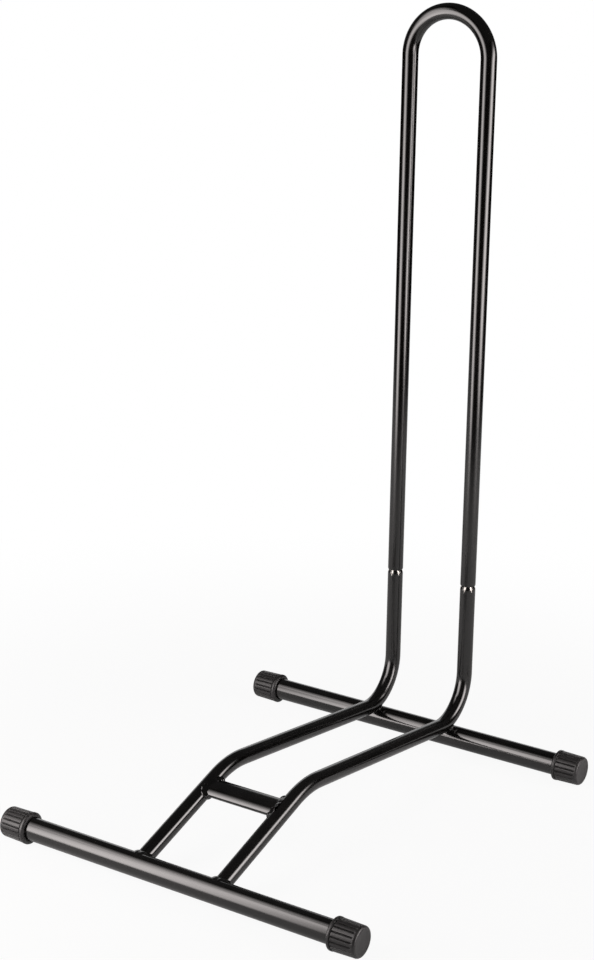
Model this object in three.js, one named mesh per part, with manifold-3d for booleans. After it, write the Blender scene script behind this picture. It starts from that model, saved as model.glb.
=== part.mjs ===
// Floor rack that holds one bicycle by a wheel.
//
// Two cross tubes lie on the floor, each with a ribbed cap on both ends. Two bent side tubes run
// from the front cross tube over a low crest, down to the rear cross tube, and up into risers.
// A short rung ties the side tubes just before the crest. A tall hoop plugs onto the risers and
// lifts off for storage. The tyre rolls in over the front tube and the rung, drops between the
// side tubes, and stands between the legs of the hoop.
//
// Millimetres. +X runs to the right along the cross tubes, +Y to the hoop, +Z up.
// The origin is on the floor, in the middle of the rack's outline.

import * as THREE from 'three';
import { mergeVertices } from 'three/addons/utils/BufferGeometryUtils.js';
import Module from 'manifold-3d';

const wasm = await Module();
wasm.setup();

// ---------------------------------------------------------------- driving dimensions

// Foot: the two cross tubes.
const OVERALL_WIDTH = 398;
const CROSS_TUBE_SPACING = 418.5;
const CROSS_TUBE_DIAMETER = 22.5;
const CROSS_TUBE_WALL = 1.5;

// Side tubes: ramp up from the front tube, crest, slope down, elbow, riser.
const SIDE_TUBE_SPACING = 88;
const SIDE_TUBE_DIAMETER = 16;
const SIDE_TUBE_WALL = 1.5;
const CREST_DISTANCE = 144;
const CREST_HEIGHT = 64.5;
const CREST_BEND_RADIUS = 96;
const ELBOW_RADIUS = 46;
const RISER_SETBACK = 27.3;

// Rung between the side tubes: a tube pressed to an oval, which dips towards the front.
const RUNG_DISTANCE = 114.5;
const RUNG_WIDTH = 27.2;
const RUNG_THICKNESS = 12;
const RUNG_WALL = 1.5;
const RUNG_DIP = THREE.MathUtils.degToRad(6.3);
const RUNG_NOTCH_DEPTH = 4;

// Hoop and the plug joint that carries it.
const OVERALL_HEIGHT = 765;
const JOINT_HEIGHT = 175;
const SPIGOT_LENGTH = 50;
const SPIGOT_WALL = 1.5;
const NECK_LENGTH = 6;
const LEG_EDGE_RADIUS = 0.8;
const FLUTE_COUNT = 6;
const FLUTE_RADIUS = 2.4;
const FLUTE_DEPTH = 0.8;

// Caps on the cross tubes.
const CAP_LENGTH = 29.5;
const CAP_WALL = 4;
const CAP_FLOOR = 3;
const CAP_TAPER = 0.5;
const CAP_SHOULDER_RADIUS = 2.6;
const CAP_COLLAR_LENGTH = 2.5;
const CAP_LIP_LENGTH = 1.8;
const CAP_LIP_WALL = 2.2;
const CAP_COLLAR_STEP = 0.3;
const CAP_RIB_COUNT = 20;
const CAP_RIB_DEPTH = 0.9;

// Weld beads.
const FRONT_BEAD_LEG = 2.6;
const RUNG_BEAD_LEG = 2;
const FLANK_SHARE = 0.93;
const REAR_BEAD_WAIST = 5.6;
const REAR_BEAD_FOOT = 7.4;
const BEAD_BULGE = 0.6;

// Clearances between separate pieces.
const WELD_GAP = 0.3;
const CAP_CLEARANCE = 0.25;
const SPIGOT_CLEARANCE = 0.2;
const SEAT_GAP = 0.3;

// Facets: sides of a tube and of a small form, and the turn between two rings of a bend.
const TUBE_SIDES = 20;
const CROSS_TUBE_SIDES = 32;
const BORE_SIDES = 12;
const BEAD_SIDES = 24;
const BEND_STEP = THREE.MathUtils.degToRad(9);
const POINTS_PER_RIB = 3;
const SHOULDER_STEPS = 2;
const FLUTE_ROUNDS = 3;
const SAME_PLACE = 0.01;

// ---------------------------------------------------------------- sizes that follow

const sideRadius = SIDE_TUBE_DIAMETER / 2;
const crossRadius = CROSS_TUBE_DIAMETER / 2;
const halfSpacing = SIDE_TUBE_SPACING / 2;
const capBore = crossRadius + CAP_CLEARANCE;
const capRadius = capBore + CAP_WALL;
const hoopBore = sideRadius - SIDE_TUBE_WALL;
const spigotRadius = hoopBore - SPIGOT_CLEARANCE;
const neckTop = JOINT_HEIGHT - SEAT_GAP;
const neckBase = neckTop - NECK_LENGTH;
const spigotTop = JOINT_HEIGHT + SPIGOT_LENGTH;
const cutterLength = 4 * SIDE_TUBE_DIAMETER;

// Side elevation, as (y, z) points measured from the front cross tube's axis on the floor.
const frontAxis = new THREE.Vector2(0, capRadius);
const rearAxis = new THREE.Vector2(CROSS_TUBE_SPACING, capRadius);
const crest = new THREE.Vector2(CREST_DISTANCE, CREST_HEIGHT);
const riserY = CROSS_TUBE_SPACING + RISER_SETBACK;

// The elbow rests on the rear cross tube, so its centre is one reach away from that tube's axis.
const elbowReach = ELBOW_RADIUS + sideRadius + WELD_GAP + crossRadius;
const elbowCentreY = riserY - ELBOW_RADIUS;
const elbowCentreZ = capRadius + Math.sqrt(elbowReach ** 2 - (CROSS_TUBE_SPACING - elbowCentreY) ** 2);
const elbowCentre = new THREE.Vector2(elbowCentreY, elbowCentreZ);

// The slope leaves the crest as a tangent to the underside of the elbow.
const toElbow = elbowCentre.clone().sub(crest);
const slopeAngle = toElbow.angle() - Math.asin(ELBOW_RADIUS / toElbow.length());
const elbowCorner = new THREE.Vector2(riserY, crest.y + (riserY - crest.x) * Math.tan(slopeAngle));

const rampDirection = crest.clone().sub(frontAxis).normalize();
const rungCentre = frontAxis.clone().addScaledVector(rampDirection, RUNG_DISTANCE);
const ovalReach = new THREE.Vector2(RUNG_WIDTH / 2, RUNG_THICKNESS / 2);
const ovalCentre = new THREE.Vector2();
const archRadius = halfSpacing;
const hoopTop = OVERALL_HEIGHT - sideRadius;

// ---------------------------------------------------------------- materials

const powderCoat = () => new THREE.MeshStandardMaterial({ color: 0x1b1918, roughness: 0.28, metalness: 0.1 });
const weldCoat = () => new THREE.MeshStandardMaterial({ color: 0x1b1918, roughness: 0.35, metalness: 0.1 });
const capRubber = () => new THREE.MeshStandardMaterial({ color: 0x29272a, roughness: 0.6, metalness: 0 });

// ---------------------------------------------------------------- path of a bent tube

// A run of straight stretches joined by round bends. Rings stand close together in the bends
// only, because a straight stretch needs none between its ends.
class BentPath extends THREE.Curve {
  constructor(corners, radii) {
    super();
    this.rings = [];
    this.tangents = [];
    this.addRing(corners[0], corners[1].clone().sub(corners[0]).normalize());
    radii.forEach((radius, i) => this.addBend(corners[i], corners[i + 1], corners[i + 2], radius));
    const last = corners.at(-1);
    this.addRing(last, last.clone().sub(corners.at(-2)).normalize());
    this.steps = this.rings.length - 1;
  }

  addRing(point, tangent) {
    const previous = this.rings.at(-1);
    if (previous && previous.distanceTo(point) < SAME_PLACE) return;
    this.rings.push(point);
    this.tangents.push(tangent);
  }

  addBend(before, corner, after, radius) {
    const incoming = corner.clone().sub(before).normalize();
    const outgoing = after.clone().sub(corner).normalize();
    const turn = incoming.angleTo(outgoing);
    const start = corner.clone().addScaledVector(incoming, -radius * Math.tan(turn / 2));
    const axis = incoming.clone().cross(outgoing).normalize();
    const inward = axis.clone().cross(incoming);
    const centre = start.clone().addScaledVector(inward, radius);
    const count = Math.ceil(turn / BEND_STEP);
    for (let i = 0; i <= count; i += 1) {
      const angle = (turn * i) / count;
      const spoke = inward.clone().multiplyScalar(-radius).applyAxisAngle(axis, angle);
      this.addRing(centre.clone().add(spoke), incoming.clone().applyAxisAngle(axis, angle));
    }
  }

  blend(list, u, target) {
    const place = u * this.steps;
    const index = Math.min(Math.floor(place), this.steps - 1);
    return target.lerpVectors(list[index], list[index + 1], place - index);
  }

  getPointAt(u, target = new THREE.Vector3()) {
    return this.blend(this.rings, u, target);
  }

  getTangentAt(u, target = new THREE.Vector3()) {
    return this.blend(this.tangents, u, target).normalize();
  }
}

// ---------------------------------------------------------------- shapes and booleans

function disc(radius) {
  return new THREE.Shape().absarc(0, 0, radius, 0, 2 * Math.PI);
}

function annulus(outerRadius, innerRadius) {
  const shape = disc(outerRadius);
  shape.holes.push(new THREE.Path().absarc(0, 0, innerRadius, 0, 2 * Math.PI, true));
  return shape;
}

function sweep(shape, path, sides = TUBE_SIDES) {
  const options = { steps: path.steps, curveSegments: sides / 2, extrudePath: path };
  return new THREE.ExtrudeGeometry(shape, options);
}

// Straight length of a section along X, centred on the origin. The section's own y runs along Y.
function straightLength(shape, length) {
  const options = { depth: length, curveSegments: CROSS_TUBE_SIDES / 2, bevelEnabled: false };
  const geometry = new THREE.ExtrudeGeometry(shape, options);
  return geometry.translate(0, 0, -length / 2).rotateY(Math.PI / 2);
}

// Solid rod through a point, along a direction.
function rod(radius, length, direction, point, sides = TUBE_SIDES) {
  const turn = new THREE.Quaternion().setFromUnitVectors(new THREE.Vector3(0, 1, 0), direction);
  const geometry = new THREE.CylinderGeometry(radius, radius, length, sides);
  return geometry.applyQuaternion(turn).translate(point.x, point.y, point.z);
}

// Solid of revolution about +Z from [radius, height] pairs.
function lathe(pairs, sides = BEAD_SIDES) {
  const points = pairs.map(([radius, height]) => new THREE.Vector2(radius, height));
  return new THREE.LatheGeometry(points, sides).rotateX(Math.PI / 2);
}

function toSolid(geometry) {
  const bare = geometry.clone();
  bare.deleteAttribute('normal');
  bare.deleteAttribute('uv');
  const merged = mergeVertices(bare);
  const vertProperties = new Float32Array(merged.attributes.position.array);
  const triVerts = new Uint32Array(merged.index.array);
  return new wasm.Manifold(new wasm.Mesh({ numProp: 3, vertProperties, triVerts }));
}

function toGeometry(solid) {
  const mesh = solid.getMesh();
  const geometry = new THREE.BufferGeometry();
  geometry.setAttribute('position', new THREE.BufferAttribute(mesh.vertProperties, 3));
  geometry.setIndex(new THREE.BufferAttribute(mesh.triVerts, 1));
  geometry.computeVertexNormals();
  return geometry;
}

function cut(geometry, cutters) {
  return toGeometry(cutters.reduce((solid, cutter) => solid.subtract(toSolid(cutter)), toSolid(geometry)));
}

function part(name, geometry, material) {
  const mesh = new THREE.Mesh(geometry, material);
  mesh.name = name;
  return mesh;
}

const along = (side) => (side < 0 ? 'left' : 'right');
const xAxis = new THREE.Vector3(1, 0, 0);
const rampAxis = new THREE.Vector3(0, rampDirection.x, rampDirection.y);

// A point of the side elevation, moved out to a given x.
const at = (x, elevation) => new THREE.Vector3(x, elevation.x, elevation.y);

// ---------------------------------------------------------------- foot

function crossTube(name, axis) {
  const length = OVERALL_WIDTH - 2 * (CAP_FLOOR + SEAT_GAP);
  const section = annulus(crossRadius, crossRadius - CROSS_TUBE_WALL);
  const mesh = part(name, straightLength(section, length), powderCoat());
  mesh.position.copy(at(0, axis));
  return mesh;
}

// Cup over the tube's end: bore, thin lip, smooth collar, ribbed barrel, round shoulder, flat end.
// Its length runs along +X from the mouth to the end.
function capGeometry() {
  const barrelRadius = capRadius - CAP_TAPER;
  const barrelEnd = CAP_LENGTH - CAP_SHOULDER_RADIUS;
  const barrelStart = CAP_LIP_LENGTH + CAP_COLLAR_LENGTH;
  const profile = [
    [0, CAP_LENGTH - CAP_FLOOR],
    [capBore, CAP_LENGTH - CAP_FLOOR],
    [capBore, 0],
    [capBore + CAP_LIP_WALL, 0],
    [capRadius, CAP_LIP_LENGTH],
    [capRadius, barrelStart],
  ];
  const firstRibRow = profile.length;
  profile.push([capRadius - CAP_COLLAR_STEP, barrelStart + CAP_RIB_DEPTH], [barrelRadius, barrelEnd]);
  const lastRibRow = profile.length - 1;
  for (let i = 1; i <= SHOULDER_STEPS; i += 1) {
    const angle = (Math.PI / 2) * (i / SHOULDER_STEPS);
    const radius = barrelRadius - CAP_SHOULDER_RADIUS * (1 - Math.cos(angle));
    profile.push([radius, barrelEnd + CAP_SHOULDER_RADIUS * Math.sin(angle)]);
  }
  profile.push([0, CAP_LENGTH]);

  const sides = CAP_RIB_COUNT * POINTS_PER_RIB;
  const points = profile.map(([radius, height]) => new THREE.Vector2(radius, height));
  const geometry = new THREE.LatheGeometry(points, sides);
  const position = geometry.attributes.position;
  for (let column = 0; column <= sides; column += POINTS_PER_RIB) {
    for (let row = firstRibRow; row <= lastRibRow; row += 1) {
      const vertex = column * points.length + row;
      const scale = 1 - CAP_RIB_DEPTH / points[row].x;
      position.setX(vertex, position.getX(vertex) * scale);
      position.setZ(vertex, position.getZ(vertex) * scale);
    }
  }
  return geometry.rotateZ(-Math.PI / 2);
}

function cap(end, side, axis) {
  const mesh = part(`${end}_${along(side)}_cap`, capGeometry(), capRubber());
  mesh.position.copy(at(side * (OVERALL_WIDTH / 2 - CAP_LENGTH), axis));
  mesh.rotation.y = side < 0 ? Math.PI : 0;
  return mesh;
}

// ---------------------------------------------------------------- side tubes and rung

function sidePath(topHeight) {
  const top = new THREE.Vector2(riserY, topHeight);
  const corners = [frontAxis, crest, elbowCorner, top].map((point) => at(0, point));
  return new BentPath(corners, [CREST_BEND_RADIUS, ELBOW_RADIUS]);
}

// Everything outside the neck and the spigot, as a ring that is cut away from the riser's top.
function neckCutter() {
  const outside = SIDE_TUBE_DIAMETER;
  const step = sideRadius - spigotRadius;
  const ring = [
    [outside, neckBase],
    [outside, spigotTop + NECK_LENGTH],
    [spigotRadius, spigotTop + NECK_LENGTH],
    [spigotRadius, neckTop],
    [sideRadius - step / 4, (neckBase + neckTop) / 2],
    [sideRadius, neckBase],
    [outside, neckBase],
  ];
  return lathe(ring, TUBE_SIDES * 2).translate(0, riserY, 0);
}

// Six pressed flutes run up the spigot from the neck.
function fluteCutters() {
  const length = SPIGOT_LENGTH + NECK_LENGTH;
  const distance = spigotRadius - FLUTE_DEPTH + FLUTE_RADIUS;
  return Array.from({ length: FLUTE_COUNT }, (_, i) => {
    const angle = (2 * Math.PI * (i + 0.5)) / FLUTE_COUNT;
    const flute = new THREE.CapsuleGeometry(FLUTE_RADIUS, length, FLUTE_ROUNDS, FLUTE_ROUNDS * 4);
    const centreHeight = neckTop + length / 2;
    flute.rotateX(Math.PI / 2);
    return flute.translate(distance * Math.cos(angle), riserY + distance * Math.sin(angle), centreHeight);
  });
}

// The bore follows the tube, then narrows into the spigot below the neck.
function boreCutters() {
  const tubeBore = sideRadius - SIDE_TUBE_WALL;
  const spigotBore = spigotRadius - SPIGOT_WALL;
  const coneBase = neckBase - SPIGOT_WALL;
  const narrow = [
    [0, coneBase - SEAT_GAP],
    [tubeBore, coneBase],
    [spigotBore, neckTop - SPIGOT_WALL],
    [spigotBore, spigotTop + NECK_LENGTH],
    [0, spigotTop + NECK_LENGTH],
  ];
  return [
    sweep(disc(tubeBore), sidePath(coneBase), BORE_SIDES),
    lathe(narrow, BORE_SIDES).translate(0, riserY, 0),
  ];
}

// Room for a cross tube under or before a side tube.
function crossRod(axis) {
  return rod(crossRadius + WELD_GAP, cutterLength, xAxis, at(0, axis), CROSS_TUBE_SIDES);
}

function sideTubeGeometry() {
  const saddle = crossRod(frontAxis);
  const blank = sweep(disc(sideRadius), sidePath(spigotTop));
  return cut(blank, [saddle, neckCutter(), ...boreCutters(), ...fluteCutters()]);
}

// Room for a side tube, as seen from the middle of the rung.
function sideRod(side) {
  const place = new THREE.Vector3(side * halfSpacing, 0, 0);
  return rod(sideRadius + WELD_GAP, cutterLength, rampAxis, place);
}

// Oval outline of the rung, moved in by a wall, with its wide way along Y before it dips.
function rungOutline(path, inset, clockwise) {
  const wide = RUNG_WIDTH / 2 - inset;
  const thick = RUNG_THICKNESS / 2 - inset;
  return path.absellipse(0, 0, wide, thick, 0, 2 * Math.PI, clockwise, Math.PI / 2 + RUNG_DIP);
}

function rungGeometry() {
  const length = SIDE_TUBE_SPACING - 2 * (sideRadius - RUNG_NOTCH_DEPTH);
  const section = rungOutline(new THREE.Shape(), 0, false);
  section.holes.push(rungOutline(new THREE.Path(), RUNG_WALL, true));
  return cut(straightLength(section, length), [sideRod(-1), sideRod(1)]);
}

// ---------------------------------------------------------------- welds

// Bead around the foot of a side tube, where it meets the front cross tube. Each section has its
// corner between both walls, a foot on each of them and a slightly proud middle.
function frontBeadGeometry() {
  const upward = xAxis.clone().cross(rampAxis);
  const inner = sideRadius + WELD_GAP;
  const saddle = crossRadius + WELD_GAP;
  const onSaddle = (radius, angle) => Math.sqrt(saddle ** 2 - (radius * Math.sin(angle)) ** 2);
  const point = (radius, angle, height) => new THREE.Vector3()
    .addScaledVector(xAxis, radius * Math.cos(angle))
    .addScaledVector(upward, radius * Math.sin(angle))
    .addScaledVector(rampAxis, height);
  const vertices = [];
  for (let i = 0; i < BEAD_SIDES; i += 1) {
    const angle = (2 * Math.PI * i) / BEAD_SIDES;
    const outer = Math.min(inner + FRONT_BEAD_LEG, saddle - WELD_GAP);
    const corner = onSaddle(inner, angle);
    const section = [
      point(inner, angle, corner),
      point(outer, angle, onSaddle(outer, angle)),
      point(inner + FRONT_BEAD_LEG * BEAD_BULGE, angle, corner + FRONT_BEAD_LEG * BEAD_BULGE),
      point(inner, angle, corner + FRONT_BEAD_LEG),
    ];
    section.forEach((vertex) => vertices.push(...vertex.toArray()));
  }
  return loopSolid(vertices, BEAD_SIDES, 4);
}

// Closed ring of sections with the same number of points in each.
function loopSolid(vertices, sections, pointsInSection) {
  const index = [];
  for (let i = 0; i < sections; i += 1) {
    const here = i * pointsInSection;
    const next = ((i + 1) % sections) * pointsInSection;
    for (let j = 0; j < pointsInSection; j += 1) {
      const k = (j + 1) % pointsInSection;
      index.push(here + j, here + k, next + k, here + j, next + k, next + j);
    }
  }
  const geometry = new THREE.BufferGeometry();
  geometry.setAttribute('position', new THREE.Float32BufferAttribute(vertices, 3));
  geometry.setIndex(index);
  geometry.computeVertexNormals();
  return geometry;
}

// Bead around an end of the rung, on the flank of a side tube. A section stands off the rung's
// oval along the oval's normal, and its foot on the flank stops short of the side tube's crown.
function rungBeadGeometry(side) {
  const upward = xAxis.clone().cross(rampAxis);
  const flank = sideRadius + WELD_GAP;
  const turn = RUNG_DIP - rampDirection.angle();
  const offFlank = (height) => {
    const reach = THREE.MathUtils.clamp(height, -flank * FLANK_SHARE, flank * FLANK_SHARE);
    return halfSpacing - Math.sqrt(flank ** 2 - reach ** 2);
  };
  const point = (spot, distance) => new THREE.Vector3()
    .addScaledVector(xAxis, side * distance)
    .addScaledVector(rampAxis, spot.x)
    .addScaledVector(upward, spot.y);
  const vertices = [];
  for (let i = 0; i < BEAD_SIDES; i += 1) {
    const angle = (side * 2 * Math.PI * i) / BEAD_SIDES;
    const spoke = new THREE.Vector2(Math.cos(angle), Math.sin(angle));
    const onOval = spoke.clone().multiply(ovalReach).rotateAround(ovalCentre, turn);
    const normal = spoke.clone().divide(ovalReach).normalize().rotateAround(ovalCentre, turn);
    const off = (distance) => onOval.clone().addScaledVector(normal, WELD_GAP + distance);
    const corner = offFlank(off(0).y);
    const proud = RUNG_BEAD_LEG * BEAD_BULGE;
    const section = [
      point(off(0), corner),
      point(off(RUNG_BEAD_LEG), offFlank(off(RUNG_BEAD_LEG).y)),
      point(off(proud), corner - proud),
      point(off(0), corner - RUNG_BEAD_LEG),
    ];
    section.forEach((vertex) => vertices.push(...vertex.toArray()));
  }
  return loopSolid(vertices, BEAD_SIDES, 4);
}

// Waisted bead in the narrow gap between the elbow and the rear cross tube below it.
function rearBeadGeometry() {
  const height = REAR_BEAD_FOOT;
  const blank = lathe([
    [0, -height],
    [REAR_BEAD_FOOT, -height],
    [REAR_BEAD_FOOT, -height / 2],
    [REAR_BEAD_WAIST, 0],
    [REAR_BEAD_FOOT, height / 2],
    [REAR_BEAD_FOOT, height],
    [0, height],
  ]);
  const normal = elbowCentre.clone().sub(rearAxis).normalize();
  const upright = new THREE.Vector3(0, normal.x, normal.y);
  const contact = rearAxis.clone().addScaledVector(normal, crossRadius + WELD_GAP / 2);
  blank.applyQuaternion(new THREE.Quaternion().setFromUnitVectors(new THREE.Vector3(0, 0, 1), upright));
  blank.translate(0, contact.x, contact.y);
  const elbow = sweep(disc(sideRadius + WELD_GAP), sidePath(JOINT_HEIGHT));
  return cut(blank, [crossRod(rearAxis), elbow]);
}

// ---------------------------------------------------------------- hoop

// Ring that trims the lower edge of a leg to a small chamfer.
function legEdgeCutter(side) {
  const ring = [
    [sideRadius - LEG_EDGE_RADIUS, JOINT_HEIGHT - LEG_EDGE_RADIUS],
    [sideRadius + LEG_EDGE_RADIUS, JOINT_HEIGHT - LEG_EDGE_RADIUS],
    [sideRadius + LEG_EDGE_RADIUS, JOINT_HEIGHT + LEG_EDGE_RADIUS * 3],
    [sideRadius - LEG_EDGE_RADIUS, JOINT_HEIGHT],
    [sideRadius - LEG_EDGE_RADIUS, JOINT_HEIGHT - LEG_EDGE_RADIUS],
  ];
  return lathe(ring, TUBE_SIDES * 2).translate(side * halfSpacing, riserY, 0);
}

function hoopGeometry() {
  const corner = (x, z) => new THREE.Vector3(x, riserY, z);
  const path = new BentPath([
    corner(-halfSpacing, JOINT_HEIGHT),
    corner(-halfSpacing, hoopTop),
    corner(halfSpacing, hoopTop),
    corner(halfSpacing, JOINT_HEIGHT),
  ], [archRadius, archRadius]);
  return cut(sweep(annulus(sideRadius, hoopBore), path), [legEdgeCutter(-1), legEdgeCutter(1)]);
}

// ---------------------------------------------------------------- the rack

const base = new THREE.Group();
const ends = { front: frontAxis, rear: rearAxis };
for (const [end, axis] of Object.entries(ends)) {
  base.add(crossTube(`${end}_cross_tube`, axis));
  base.add(cap(end, -1, axis), cap(end, 1, axis));
}

const rung = part('wheel_rung', rungGeometry(), powderCoat());
rung.position.copy(at(0, rungCentre));
base.add(rung);

for (const side of [-1, 1]) {
  const sideTube = part(`${along(side)}_side_tube`, sideTubeGeometry(), powderCoat());
  sideTube.position.x = side * halfSpacing;
  const frontBead = part(`front_${along(side)}_weld`, frontBeadGeometry(), weldCoat());
  frontBead.position.copy(at(side * halfSpacing, frontAxis));
  const rungBead = part(`rung_${along(side)}_weld`, rungBeadGeometry(side), weldCoat());
  rungBead.position.copy(rung.position);
  const rearBead = part(`rear_${along(side)}_weld`, rearBeadGeometry(), weldCoat());
  rearBead.position.x = side * halfSpacing;
  base.add(sideTube, frontBead, rungBead, rearBead);
}

const rack = new THREE.Group();
rack.add(base, part('upper_hoop', hoopGeometry(), powderCoat()));

const outline = new THREE.Box3().setFromObject(rack, true);
const middle = outline.getCenter(new THREE.Vector3());
rack.position.set(-middle.x, -middle.y, -outline.min.z);

export default rack;
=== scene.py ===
from math import atan2, ceil, copysign, cos, pi, radians, sin, sqrt, tan

import bpy
import numpy as np
from mathutils import Matrix, Vector


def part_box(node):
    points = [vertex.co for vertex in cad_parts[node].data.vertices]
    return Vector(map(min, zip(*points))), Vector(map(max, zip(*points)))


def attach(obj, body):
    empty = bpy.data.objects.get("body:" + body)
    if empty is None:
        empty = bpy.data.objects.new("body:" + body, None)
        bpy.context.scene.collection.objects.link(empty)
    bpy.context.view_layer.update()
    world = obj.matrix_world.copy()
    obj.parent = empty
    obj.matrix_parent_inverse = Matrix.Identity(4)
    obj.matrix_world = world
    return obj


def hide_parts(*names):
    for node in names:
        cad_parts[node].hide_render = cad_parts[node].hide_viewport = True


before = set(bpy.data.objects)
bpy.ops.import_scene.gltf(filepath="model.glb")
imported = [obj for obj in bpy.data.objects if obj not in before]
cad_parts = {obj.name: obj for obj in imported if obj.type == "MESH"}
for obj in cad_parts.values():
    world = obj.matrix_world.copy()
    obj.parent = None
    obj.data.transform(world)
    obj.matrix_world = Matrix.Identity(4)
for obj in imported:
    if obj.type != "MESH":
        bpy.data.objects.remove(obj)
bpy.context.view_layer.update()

# Floor rack that holds a bicycle by one wheel: two capped cross tubes, two bent side tubes with an
# oval rung between them, and a tall hoop that plugs onto the risers. All lengths are in metres.

# ---------------------------------------------------------------- sizes of the steelwork

SIDE_TUBE_RADIUS = 0.008
SIDE_TUBE_WALL = 0.0015
CROSS_TUBE_WALL = 0.0015
CREST_DISTANCE = 0.144
CREST_HEIGHT = 0.0645
CREST_BEND_RADIUS = 0.096
ELBOW_RADIUS = 0.046
RUNG_DISTANCE = 0.1145
RUNG_HALF_WIDTH = 0.0136
RUNG_HALF_THICKNESS = 0.006
RUNG_WALL = 0.0015
RUNG_DIP = radians(6.3)
WELD_GAP = 0.0003
LIP = 0.0004

# Plug joint between a riser and a leg of the hoop.
JOINT_HEIGHT = 0.175
JOINT_SEAM = 0.0003
NECK_LENGTH = 0.006
SPIGOT_RADIUS = 0.0063
SPIGOT_BORE = 0.0048
SPIGOT_LENGTH = 0.05
SPIGOT_TIP = 0.0006
FLUTE_COUNT = 6
FLUTE_RADIUS = 0.0024
FLUTE_DEPTH = 0.0008
FLUTE_RUNOUT = 0.0054
LEG_EDGE = 0.0008
LEG_EDGE_RISE = 0.0018

# Weld beads. Fullness over 1 makes a bead stand proud, and lump is how unevenly it is laid.
FRONT_BEAD_LEG = 0.003
FRONT_BEAD_FULLNESS = 1.35
FRONT_BEAD_LUMP = 0.144
RUNG_BEAD_LEG = 0.0028
RUNG_BEAD_FULLNESS = 1.7
RUNG_BEAD_LUMP = 0.24
REAR_BEAD_WAIST = 0.0052
REAR_WAIST_LUMP = 0.096
REAR_BEAD_FOOT = 0.0072
REAR_FOOT_LUMP = 0.12
BEAD_SINK = 0.0004
LUMP_TURNS = np.array([3, 5, 8, 12, 17])
LUMP_WEIGHTS = np.array([0.45, 0.35, 0.5, 0.6, 0.35])

# A weld reaches no further round a tube than this share of the tube's radius.
WITHIN_TUBE = 0.95

# End caps, measured from the mouth.
CAP_BORE = 0.0115
CAP_FLOOR = 0.003
CAP_LIP_WALL = 0.0022
CAP_LIP_LENGTH = 0.0018
CAP_COLLAR_END = 0.0041
CAP_GROOVE_WIDTH = 0.0012
CAP_GROOVE_DEPTH = 0.0009
CAP_STEP = 0.0003
CAP_TAPER = 0.0008
CAP_SHOULDER_LENGTH = 0.0034
CAP_SHOULDER_DROP = 0.0028
CAP_SHOULDER_POWER = 0.8
CAP_DISH = 0.00015
CAP_RIBS = 20
CAP_RIB_DEPTH = 0.0012
CAP_RIB_CROWN = 0.00018
CAP_RIB_FLANK = (0.32, 0.42)

# How far edges are laid open to rubbing and hollows get painted shade, from 0 to 1. A cap's corner is
#  rubbed, with a painted highlight, most at a share of its shoulder's drop, and less over a width
#  either side of that.
PLUG_EXPOSURE = 0.7
RIB_EXPOSURE = 0.45
CAP_CORNER_SHARE = 0.8
CAP_CORNER_WIDTH = 0.0007
GROOVE_SHADE = 0.9

# How finely the surfaces are divided.
SIDE_TUBE_SIDES = 64
PLUG_SIDES = 2 * SIDE_TUBE_SIDES
CROSS_TUBE_SIDES = 80
RUNG_ROWS = 9
NECK_ROWS = 33
SPIGOT_ROWS = 5
TIP_ROWS = 4
WORN_NECK_ROWS = 3
LEG_EDGE_ROWS = 7
WORN_LEG_ROWS = 4
BEAD_SIDES = 120
BEAD_STEPS = 12
POINTS_PER_RIB = 16
CAP_INSIDE_ROWS = 5
GROOVE_ROWS = 7
BARREL_ROWS = 34
SHOULDER_ROWS = 13
BEND_STEP = radians(2)
BORE_BEND_STEP = radians(8)
SAME_PLACE = 1e-7
SHARP_EDGE = radians(42)

RANDOM = np.random.default_rng(31)

# ---------------------------------------------------------------- places taken from the frame


def middle(node):
    """Centre of a CAD node's box."""
    low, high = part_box(node)
    return np.array((low + high) / 2)


def reach(node):
    """Half the size of a CAD node's box along each axis."""
    low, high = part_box(node)
    return np.array((high - low) / 2)


def unit(vector):
    """The vector divided by its length."""
    return vector / np.linalg.norm(vector)


X_AXIS = np.array([1.0, 0.0, 0.0])
Y_AXIS = np.array([0.0, 1.0, 0.0])
Z_AXIS = np.array([0.0, 0.0, 1.0])
HALF_SPACING = middle("right_side_tube")[0]
CROSS_TUBE_RADIUS = reach("front_cross_tube")[2]
FRONT_AXIS = middle("front_cross_tube")[1:]
REAR_AXIS = middle("rear_cross_tube")[1:]
RISER_Y = middle("upper_hoop")[1]
HOOP_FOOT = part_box("upper_hoop")[0].z
HOOP_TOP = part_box("upper_hoop")[1].z - SIDE_TUBE_RADIUS
NECK_TOP = JOINT_HEIGHT - JOINT_SEAM
NECK_BASE = NECK_TOP - NECK_LENGTH
SPIGOT_TOP = JOINT_HEIGHT + SPIGOT_LENGTH

# Side elevation, as (y, z) pairs.
CREST = FRONT_AXIS + [CREST_DISTANCE, CREST_HEIGHT - FRONT_AXIS[1]]
ELBOW_REACH = ELBOW_RADIUS + SIDE_TUBE_RADIUS + WELD_GAP + CROSS_TUBE_RADIUS
ELBOW_SETBACK = RISER_Y - ELBOW_RADIUS - REAR_AXIS[0]
ELBOW_CENTRE = REAR_AXIS + [ELBOW_SETBACK, sqrt(ELBOW_REACH**2 - ELBOW_SETBACK**2)]


def slope_angle():
    """Slope of the run behind the crest, in radians.

    It is tangent to the underside of the elbow: the bearing of the elbow's centre from the crest,
    less the arcsine of the elbow's radius over their distance.
    """
    across, up = ELBOW_CENTRE - CREST
    return atan2(up, across) - np.arcsin(ELBOW_RADIUS / np.hypot(across, up))


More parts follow.
